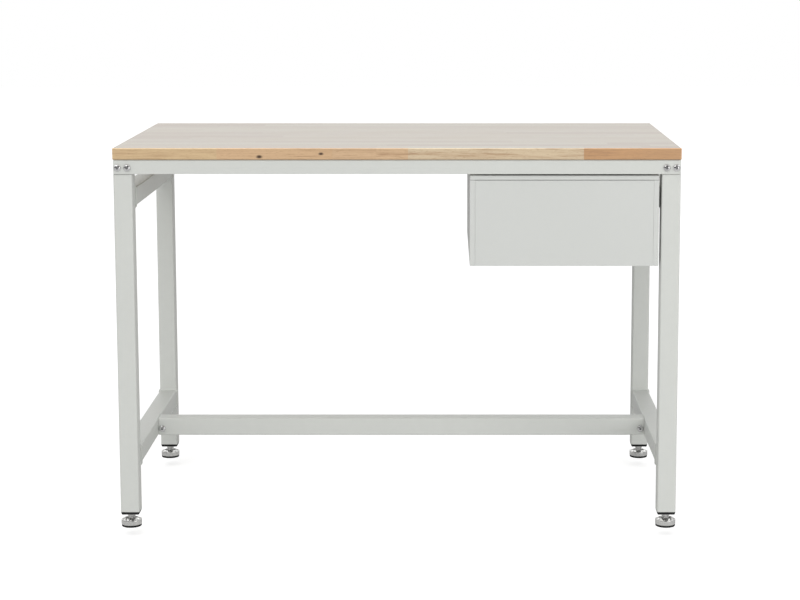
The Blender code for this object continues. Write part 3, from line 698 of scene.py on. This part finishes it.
def copyTo(piece, name, move=(0, 0, 0), turn=0.0, flip=(1, 1, 1)):
    # a copy with its own mesh, moved after it is turned about Z or flipped
    activate(piece)
    bpy.ops.object.duplicate(linked=False)
    made = bpy.context.object
    made.name = name
    made.rotation_euler = (0, 0, turn)
    made.scale = flip
    made.location = move
    applyPlace(made)
    if flip[0] * flip[1] * flip[2] < 0:
        faceOutwards(made)
    return made


def faceOutwards(piece):
    editPick(piece, "FACE", lambda face: True)
    bpy.ops.mesh.remove_doubles(threshold=0.000001)
    bpy.ops.mesh.normals_make_consistent(inside=False)
    leaveEdit()


def drawOn(scale, rise, centre):
    # extrudes what is selected along Z and scales it about centre
    bpy.ops.mesh.extrude_region_move(TRANSFORM_OT_translate={"value": (0, 0, rise)})
    bpy.ops.transform.resize(value=(scale, scale, 1), center_override=centre)


def turned(name, rings, place, sides=48, turn=0.0):
    # rings are (radius, height): each is drawn out of the last, and both ends are closed
    bpy.ops.object.select_all(action="DESELECT")
    radius, height = rings[0]
    bpy.ops.mesh.primitive_circle_add(
        vertices=sides, radius=radius, location=(*place, height), fill_type="NGON")
    piece = bpy.context.object
    piece.name = name
    if turn:
        piece.rotation_euler[2] = turn
    applyPlace(piece)
    editPick(piece, "FACE", lambda face: True)
    for before, after in zip(rings, rings[1:]):
        drawOn(after[0] / before[0], after[1] - before[1], (*place, after[1]))
    leaveEdit()
    faceOutwards(piece)
    return piece


def fromNode(node, name):
    # starts a piece from a CAD node's own shape, with its triangles merged back to flat faces
    source = frame["nodes"][node]
    piece = bpy.data.objects.new(name, source.data.copy())
    bpy.context.scene.collection.objects.link(piece)
    editPick(piece, "FACE", lambda face: True)
    bpy.ops.mesh.remove_doubles(threshold=0.00001)
    bpy.ops.mesh.dissolve_limited(angle_limit=math.radians(1))
    leaveEdit()
    return piece


def finish(piece, slotName, *nodes, angle=40, body=None):
    activate(piece)
    bpy.ops.object.shade_smooth_by_angle(angle=math.radians(angle))
    bpy.ops.object.modifier_add(type="WEIGHTED_NORMAL")
    piece.modifiers[-1].keep_sharp = True
    bpy.ops.object.modifier_apply(modifier=piece.modifiers[-1].name)
    piece.data.materials.clear()
    piece.data.materials.append(finishes[slotName])
    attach(piece, body or bodyOf[nodes[0]])
    if nodes:
        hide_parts(*nodes)


def near(value, target, within=0.0002):
    return abs(value - target) < within



worktop = {"edgeRadius": 0.0026, "edgeSteps": 5}


def makeWorktop():
    low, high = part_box("worktop")
    board = addBox("worktop_board", low, high)
    softenEdges(board, worktop["edgeRadius"], worktop["edgeSteps"])
    finish(board, "wood", "worktop")


makeWorktop()
print("worktop done")


tube = {"radius": 0.0032, "steps": 5, "wall": 0.002, "depth": 0.03}
rail = {"wall": 0.002, "bend": 0.0034, "steps": 5, "edge": 0.0004}


def squareTube(name, low, high, axis):
    # a box with rounded long edges, hollowed from both ends
    piece = addBox(name, low, high)
    bevelEdges(piece, tube["radius"], tube["steps"],
               lambda a, b: abs((a - b)[axis]) > (high - low)[axis] / 2)
    for side in (1, -1):
        end = high[axis] if side > 0 else low[axis]
        editPick(piece, "FACE", lambda face: near(face.center[axis], end))
        bpy.ops.mesh.inset(thickness=tube["wall"], depth=0)
        inward = Vector((0, 0, 0))
        inward[axis] = -side * tube["depth"]
        bpy.ops.mesh.extrude_region_move(TRANSFORM_OT_translate={"value": inward})
        leaveEdit()
    return piece


def makeLegs():
    for corner in corners:
        leg = squareTube(f"{corner}_leg_tube", *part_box(f"{corner}_leg"), 2)
        finish(leg, "frame_paint", f"{corner}_leg")


def makeSideTubes():
    for side in ("left", "right"):
        for level in ("upper", "lower"):
            node = f"{side}_{level}_side_tube"
            piece = squareTube(f"{side}_{level}_side_bar", *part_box(node), 1)
            finish(piece, "frame_paint", node)


def makeCrossbar():
    piece = squareTube("lower_cross_tube", *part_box("lower_crossbar"), 0)
    finish(piece, "frame_paint", "lower_crossbar")
    for side in ("left", "right"):
        node = f"crossbar_bracket_{side}"
        bracket = fromNode(node, f"crossbar_{side}_clip")
        softenEdges(bracket, 0.0004)
        finish(bracket, "zinc_steel", node)


def foldStrip(name, points, start, stop, axis, wall, bend, steps, outward=True):
    # flanges drawn one from another along points, then folds rounded and given their wall
    bpy.ops.object.select_all(action="DESELECT")
    bpy.ops.mesh.primitive_plane_add(size=1)
    piece = bpy.context.object
    piece.name = name
    applyPlace(piece)
    places = [Vector(p) for p in points]
    along = Vector((0, 0, 0))
    along[axis] = 1
    starts = [place + along * reach for place in places[:2] for reach in (start, stop)]
    for vertex, spot in zip(piece.data.vertices, starts):
        vertex.co = spot
    for before, after in zip(places[1:], places[2:]):
        middle = before + along * (start + stop) / 2
        editPick(piece, "EDGE", lambda a, b: ((a + b) / 2 - middle).length < 0.0001)
        bpy.ops.mesh.extrude_region_move(TRANSFORM_OT_translate={"value": after - before})
        leaveEdit()
    folds = places[1:-1]
    bevelEdges(piece, bend, steps, lambda a, b: any(
        ((a + b) / 2 - along * (start + stop) / 2 - fold).length < 0.0001 for fold in folds))
    faceOutwards(piece)
    activate(piece)
    bpy.ops.object.modifier_add(type="SOLIDIFY")
    solid = piece.modifiers[-1]
    solid.thickness = wall
    solid.offset = -1 if outward else 1
    solid.use_even_offset = True
    bpy.ops.object.modifier_apply(modifier=solid.name)
    return piece


def makeRails():
    low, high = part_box("front_rail")
    points = [(0, low.y, low.z), (0, low.y, high.z), (0, high.y, high.z)]
    front = foldStrip("front_angle_rail", points, low.x, high.x, 0, rail["wall"], rail["bend"], rail["steps"])
    softenEdges(front, rail["edge"], 2, 50)
    rear = copyTo(front, "rear_angle_rail", flip=(1, -1, 1))
    finish(front, "frame_paint", "front_rail")
    finish(rear, "frame_paint", "rear_rail")


weld = {"reach": 0.0032, "push": 0.0005, "seed": 7, "gap": 0.0003}


def makeWeldRing(name, half, plane, side, centre):
    # a rippled fillet round the end of a side tube, where it meets the leg
    reach = weld["reach"]
    low = Vector((centre[0] - half - reach, min(plane, plane - side * reach), centre[1] - half - reach))
    high = Vector((centre[0] + half + reach, max(plane, plane - side * reach), centre[1] + half + reach))
    ring = addBox(name, low, high)
    bevelEdges(ring, reach + 0.002, 3, lambda a, b: abs((a - b).y) > reach / 2)
    far = plane - side * reach
    editPick(ring, "FACE", lambda face: near(face.center.y, far))
    shrink = (half + 0.0002) / (half + reach)
    bpy.ops.transform.resize(value=(shrink, 1, shrink), center_override=(centre[0], far, centre[1]))
    leaveEdit()
    editPick(ring, "FACE", lambda face: abs(face.normal.y) < 0.9)
    bpy.ops.mesh.subdivide(number_cuts=3)
    leaveEdit()
    for vertex in ring.data.vertices:
        if not near(vertex.co.y, plane) and not near(vertex.co.y, far):
            outward = Vector((vertex.co.x - centre[0], 0, vertex.co.z - centre[1])).normalized()
            vertex.co += outward * (chance.random() - 0.3) * weld["push"]
    return ring


def makeWelds():
    for side in ("left", "right"):
        rings = []
        for level in ("upper", "lower"):
            low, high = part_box(f"{side}_{level}_side_tube")
            centre = ((low.x + high.x) / 2, (low.z + high.z) / 2)
            half = (high.x - low.x) / 2
            rings.append(makeWeldRing("bead", half, high.y + weld["gap"], 1, centre))
            rings.append(makeWeldRing("bead", half, low.y - weld["gap"], -1, centre))
        welds = joinUp(rings, f"{side}_frame_welds")
        finish(welds, "frame_paint", angle=60, body=bodyOf[f"{side}_lower_side_tube"])


chance = random.Random(weld["seed"])
makeLegs()
makeSideTubes()
makeCrossbar()
makeRails()
print("frame done")


bolt = {
    "socket": 0.0025,
    "socketDepth": 0.0026,
    "sides": 40,
    "railHead": 0.0078,
    "shank": 0.0039,
    "nutBore": 0.0042,
    "underHead": 0.0001,
    "smooth": 32,
}


def domeHead(name, radius, height, x, z, face):
    # a button head standing on the plane Y = face, towards -Y, with a hexagon socket
    profile = [(radius * 0.98, 0.0), (radius, 0.0004), (radius * 0.985, height * 0.26),
               (radius * 0.90, height * 0.55), (radius * 0.74, height * 0.80), (radius * 0.55, height * 0.95),
               (radius * 0.40, height)]
    head = turned(name, profile, (0, 0), bolt["sides"])
    hexagon = addRound("hexTool", bolt["socket"] / math.cos(math.pi / 6), height - bolt["socketDepth"],
                       height + 0.001, (0, 0), 6)
    cut(head, hexagon)
    activate(head)
    head.rotation_euler = (math.radians(90), 0, 0)
    head.location = (x, face, z)
    applyPlace(head)
    return head


def plainRod(name, radius, start, stop, x, z):
    rod = addRound(name, radius, start, stop, (x, z), 24, across=True)
    softenEdges(rod, 0.0005, 2)
    return rod


def hexPiece(name, apothem, low, high, place, chamfer=0.12, bore=0.0):
    # a hexagon whose corners are turned off, with a bore if it has one
    corner = apothem / math.cos(math.pi / 6)
    piece = addRound(name, corner, low, high, place, 6, math.radians(30))
    drop = (high - low) * chamfer
    over = 0.0003
    rim = apothem * 0.985 - (corner - apothem) * over / drop
    barrel = turned("barrelTool", [(rim, low - over), (corner * 1.01, low + drop), (corner * 1.01, high - drop),
                                   (rim, high + over)], place, 60)
    cut(piece, barrel, "INTERSECT")
    if bore:
        drill = turned("drillTool", [(bore + drop + over, low - over), (bore, low + drop), (bore, high - drop),
                                     (bore + drop + over, high + over)], place, 40, 0.03)
        cut(piece, drill)
    return piece


def makeRailBolts():
    low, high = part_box("front_left_rail_bolts")
    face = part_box("front_rail")[0].y
    centreZ = (low.z + high.z) / 2
    headRadius = bolt["railHead"]
    under = face - bolt["underHead"]
    xs = (low.x + headRadius, high.x - headRadius)
    parts = []
    head = domeHead("head", headRadius, face - low.y, xs[0], centreZ, under)
    parts.append(head)
    parts.append(copyTo(head, "head", (xs[1] - xs[0], 0, 0)))
    for x in xs:
        parts.append(plainRod("shank", bolt["shank"], under, high.y - 0.001, x, centreZ))
    bolts = joinUp(parts, "front_left_bolt_pair")
    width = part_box("front_right_rail_bolts")[0].x - low.x
    made = {
        "front_right": copyTo(bolts, "front_right_bolt_pair", (width, 0, 0)),
        "rear_left": copyTo(bolts, "rear_left_bolt_pair", flip=(1, -1, 1)),
    }
    made["rear_right"] = copyTo(made["rear_left"], "rear_right_bolt_pair", (width, 0, 0))
    made["front_left"] = bolts
    for corner, piece in made.items():
        finish(piece, "bolt_chrome", f"{corner}_rail_bolts", angle=bolt["smooth"])


def makeCrossBolts():
    low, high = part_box("crossbar_bolt_left")
    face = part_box("lower_crossbar")[0].y
    under = face - bolt["underHead"]
    x, z = (low.x + high.x) / 2, (low.z + high.z) / 2
    head = domeHead("head", (high.x - low.x) / 2, face - low.y, x, z, under)
    rod = plainRod("shank", bolt["shank"], under, high.y, x, z)
    left = joinUp([head, rod], "crossbar_left_bolt")
    right = copyTo(left, "crossbar_right_bolt", (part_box("crossbar_bolt_right")[0].x - low.x, 0, 0))
    finish(left, "bolt_chrome", "crossbar_bolt_left", angle=bolt["smooth"])
    finish(right, "bolt_chrome", "crossbar_bolt_right", angle=bolt["smooth"])
    low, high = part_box("crossbar_nut_left")
    nut = hexPiece("crossbar_left_nut", (high.z - low.z) / 2, 0, high.y - low.y, (0, 0), 0.14,
                   bolt["nutBore"])
    nut.rotation_euler = (math.radians(90), 0, 0)
    nut.location = ((low.x + high.x) / 2, high.y, (low.z + high.z) / 2)
    applyPlace(nut)
    other = copyTo(nut, "crossbar_right_nut", (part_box("crossbar_nut_right")[0].x - low.x, 0, 0))
    finish(nut, "bolt_chrome", "crossbar_nut_left", angle=bolt["smooth"])
    finish(other, "bolt_chrome", "crossbar_nut_right", angle=bolt["smooth"])


def makeTopScrews():
    # pan-head screws up through the rail's flange into the board
    for end in ("front", "rear"):
        parts = []
        nodes = [f"{end}_top_screw_{number}" for number in (1, 2, 3)]
        low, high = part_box(nodes[0])
        place = ((low.x + high.x) / 2, (low.y + high.y) / 2)
        radius = (high.x - low.x) / 2
        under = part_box(f"{end}_rail")[1].z - 0.002
        drop = under - low.z
        rings = [(radius * 0.62, low.z), (radius * 0.86, low.z + drop * 0.18), (radius, low.z + drop * 0.6),
                 (radius * 0.98, under - 0.0001), (0.0019, under - 0.00005), (0.0019, high.z - 0.003),
                 (0.0004, high.z)]
        screw = turned("screw", rings, place, 28)
        for turn in (0.0, math.pi / 2):
            tool = addBox("crossTool", (-radius * 0.45, -0.0005, -0.001), (radius * 0.45, 0.0005, drop * 0.55))
            tool.rotation_euler = (0, 0, turn)
            tool.location = (*place, low.z)
            applyPlace(tool)
            cut(screw, tool)
        parts.append(screw)
        for node in nodes[1:]:
            parts.append(copyTo(screw, "screw", (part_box(node)[0].x - low.x, 0, 0)))
        finish(joinUp(parts, f"{end}_top_screws"), "zinc_steel", *nodes)


makeRailBolts()
makeCrossBolts()
makeTopScrews()
makeWelds()
print("fixings done")


foot = {
    "threadPitch": 0.0015,
    "threadDepth": 0.0007,
    "threadSteps": 20,
    "rod": 0.0048,
    "nutBore": 0.0046,
    "spanner": (0.0150, 0.0222),
    "sides": 64,
    "smooth": 38,
}


def makeThread(name, radius, low, high, place):
    # a V thread wound round the rod, closed at both ends
    pitch, depth = foot["threadPitch"], foot["threadDepth"]
    bpy.ops.object.select_all(action="DESELECT")
    bpy.ops.mesh.primitive_plane_add(size=1)
    piece = bpy.context.object
    piece.name = name
    applyPlace(piece)
    outline = [(radius - depth, 0), (radius, pitch * 0.42), (radius, pitch * 0.58), (radius - depth, pitch)]
    editPick(piece, "FACE", lambda face: True)
    bpy.ops.mesh.delete(type="ONLY_FACE")
    leaveEdit()
    # the plane's four corners become the tooth's outline: three edges, the fourth removed
    order = [0, 1, 3, 2]
    for index, (out, up) in zip(order, outline):
        piece.data.vertices[index].co = (out, 0, low - pitch + up)
    editPick(piece, "EDGE", lambda a, b: near(abs(a.z - b.z), pitch, 0.00001))
    bpy.ops.mesh.delete(type="EDGE")
    leaveEdit()
    turns = int((high - low) / pitch) + 3
    activate(piece)
    bpy.ops.object.modifier_add(type="SCREW")
    screw = piece.modifiers[-1]
    screw.screw_offset = pitch
    screw.iterations = turns
    screw.steps = screw.render_steps = foot["threadSteps"]
    screw.use_merge_vertices = False
    bpy.ops.object.modifier_apply(modifier=screw.name)
    editPick(piece, "FACE", lambda face: True)
    bpy.ops.mesh.remove_doubles(threshold=0.00001)
    bpy.ops.mesh.normals_make_consistent(inside=False)
    for height, outer in ((low, False), (high, True)):
        bpy.ops.mesh.select_all(action="SELECT")
        bpy.ops.mesh.bisect(plane_co=(0, 0, height), plane_no=(0, 0, 1), use_fill=True,
                            clear_outer=outer, clear_inner=not outer, threshold=0.000001)
    leaveEdit()
    piece.location = (*place, 0)
    applyPlace(piece)
    faceOutwards(piece)
    return piece


def makeFoot(place):
    padLow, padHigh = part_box("front_left_rubber_pad")
    low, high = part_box("front_left_foot")
    stemLow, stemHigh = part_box("front_left_levelling_stem")
    nutLow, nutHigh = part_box("front_left_jam_nut")
    r = (high.x - low.x) / 2
    base, top = low.z, high.z
    outside = [(r - 0.0012, base), (r - 0.0004, base + 0.0004), (r, base + 0.0014), (r, top - 0.0022),
               (r - 0.0002, top - 0.0010), (r - 0.0008, top - 0.0002), (r - 0.0016, top)]
    hollow = [(r - 0.0024, top - 0.0003), (r - 0.0030, top - 0.0012), (r - 0.0036, top - 0.0030),
              (r - 0.0046, top - 0.0040), (r - 0.0060, top - 0.0043), (0.0126, top - 0.0042)]
    boss = [(0.0116, top - 0.0036), (0.0108, top - 0.0024), (0.0100, top - 0.0014), (0.0090, top - 0.0009),
            (0.0062, top - 0.0008), (0.0052, top - 0.0016), (0.0048, top - 0.0030)]
    dish = turned("front_left_foot_dish", outside + hollow + boss, place, foot["sides"])
    rp = (padHigh.x - padLow.x) / 2
    rings = [(rp - 0.0100, padLow.z + 0.0008), (rp - 0.0094, padLow.z + 0.0001), (rp - 0.0072, padLow.z),
             (rp - 0.0066, padLow.z + 0.0008), (rp - 0.0058, padLow.z + 0.0008), (rp - 0.0052, padLow.z),
             (rp - 0.0016, padLow.z), (rp - 0.0006, padLow.z + 0.0004), (rp - 0.0002, padLow.z + 0.0012),
             (rp - 0.0009, padLow.z + 0.0021), (rp - 0.0002, padLow.z + 0.0030),
             (rp - 0.0002, padHigh.z - 0.0004), (rp - 0.0008, padHigh.z)]
    pad = turned("front_left_foot_pad", rings, place, foot["sides"])
    # stem: neck, hexagon for the spanner, then the thread
    hexLow, hexHigh = foot["spanner"]
    spanner = hexPiece("spanner", (stemHigh.y - stemLow.y) / 2, hexLow, hexHigh, place, 0.10)
    neck = turned("neck", [(0.0036, stemLow.z), (0.0058, stemLow.z + 0.0012), (0.0060, stemLow.z + 0.0026),
                           (0.0042, stemLow.z + 0.0046), (0.0042, hexLow + 0.0004)], place, 32)
    rod = makeThread("rod", foot["rod"], hexHigh - 0.0002, stemHigh.z, place)
    stem = joinUp([spanner, neck, rod], "front_left_threaded_stem")
    nut = hexPiece("front_left_lock_nut", (nutHigh.y - nutLow.y) / 2, nutLow.z, nutHigh.z, place,
                  0.16, foot["nutBore"])
    return dish, pad, stem, nut


insert = {
    "corner": 0.0032,
    "footScale": 0.93,
    "gap": 0.0003,
    "edge": 0.0003,
    "bore": 0.0052,
    "under": ((0.80, 0.0), (0.96, 0.0016), (0.66, 0.0), (0.94, -0.0016)),
    "ribs": ((0.87, 0.0), (1.0, 0.004), (0.975, 0.0), (1.0, 0.004), (1.0256, 0.0), (1.0, 0.004), (0.975, 0.0)),
}


def makeInsert(place):
    # a square cap over the leg's end, a ribbed plug inside, a drain groove and a centre boss
    low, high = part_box("front_left_leg_insert")
    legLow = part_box("front_left_leg")[0].z
    cap = addBox("front_left_leg_cap", low, (high.x, high.y, legLow - insert["gap"]))
    bevelEdges(cap, insert["corner"], 5, lambda a, b: abs((a - b).z) > 0.003)
    editPick(cap, "FACE", lambda face: near(face.center.z, low.z))
    bpy.ops.transform.resize(
        value=(insert["footScale"], insert["footScale"], 1), center_override=(*place, low.z))
    for scale, rise in insert["under"]:
        drawOn(scale, rise, (*place, low.z))
    leaveEdit()
    editPick(cap, "FACE", lambda face: near(face.center.z, legLow - insert["gap"]))
    for scale, rise in (*insert["ribs"], (0.98, high.z - legLow - 0.012)):
        drawOn(scale, rise, (*place, low.z))
    leaveEdit()
    bore = addRound("boreTool", insert["bore"], low.z - 0.002, high.z + 0.002, place, 40)
    cut(cap, bore)
    softenEdges(cap, insert["edge"], 2, 60)
    return cap


def makeFeet():
    low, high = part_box("front_left_foot")
    place = ((low.x + high.x) / 2, (low.y + high.y) / 2)
    dish, pad, stem, nut = makeFoot(place)
    cap = makeInsert(place)
    makers = (
        ("foot_dish", dish, "foot_steel", "foot"),
        ("foot_pad", pad, "black_rubber", "rubber_pad"),
        ("threaded_stem", stem, "foot_steel", "levelling_stem"),
        ("lock_nut", nut, "foot_steel", "jam_nut"),
        ("leg_cap", cap, "black_plastic", "leg_insert"),
    )
    for corner in corners[1:]:
        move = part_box(f"{corner}_foot")[0] - low
        for label, model, slotName, nodeEnd in makers:
            piece = copyTo(model, f"{corner}_{label}", (move.x, move.y, 0))
            finish(piece, slotName, f"{corner}_{nodeEnd}", angle=foot["smooth"])
    for label, model, slotName, nodeEnd in makers:
        finish(model, slotName, f"front_left_{nodeEnd}", angle=foot["smooth"])


makeFeet()
print("feet done")


drawer = {
    "bends": {
        "drawer_cover": 0.0014, "drawer_cover_back": 0.0014,
        "drawer_face": 0.0005, "drawer_box": 0.0013,
    },
    "bendSteps": 4,
    "edge": 0.0003,
    "gapFill": 0.0008,
    "hangerBend": 0.0022,
    "hangerEdge": 0.0004,
    "creaseAngle": 50,
}


def roundFolds(piece, low, high, radius, steps, axes=(0, 1, 2)):
    # rounds only the outer corners of a folded box
    def outer(a, b):
        middle = (a + b) / 2
        flat = [near(middle[i], low[i]) or near(middle[i], high[i]) for i in range(3)]
        long = max(range(3), key=lambda i: abs((a - b)[i]))
        return long in axes and sum(flat[i] for i in range(3) if i != long) == 2

    bevelEdges(piece, radius, steps, outer)


def makeHousing():
    for node, name in (("drawer_housing", "drawer_cover"), ("drawer_housing_back", "drawer_cover_back"),
                       ("drawer_front", "drawer_face"), ("drawer_tray", "drawer_box")):
        piece = fromNode(node, name)
        low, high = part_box(node)
        if name == "drawer_face":  # fills most of the running gap at each side
            piece.scale.x = 1 + 2 * drawer["gapFill"] / (high.x - low.x)
            piece.location.x = (low.x + high.x) / 2 * (1 - piece.scale.x)
            applyPlace(piece)
            low.x, high.x = low.x - drawer["gapFill"], high.x + drawer["gapFill"]
        roundFolds(piece, low, high, drawer["bends"][name], drawer["bendSteps"])
        softenEdges(piece, drawer["edge"], 2, drawer["creaseAngle"])
        finish(piece, "drawer_paint", node)


def makeSlides():
    for side in ("left", "right"):
        for member in ("outer", "middle", "inner"):
            node = f"drawer_slide_{member}_{side}"
            piece = fromNode(node, f"slide_{member}_{side}")
            softenEdges(piece, drawer["edge"], 2, drawer["creaseAngle"])
            finish(piece, "zinc_steel", node)
        node = f"drawer_hanger_{side}"
        hanger = fromNode(node, f"hanger_{side}")
        low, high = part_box(node)
        roundFolds(hanger, low, high, drawer["hangerBend"], drawer["bendSteps"], (1,))
        softenEdges(hanger, drawer["hangerEdge"], 2, drawer["creaseAngle"])
        finish(hanger, "zinc_steel", node)


makeHousing()
makeSlides()
print("drawer done")
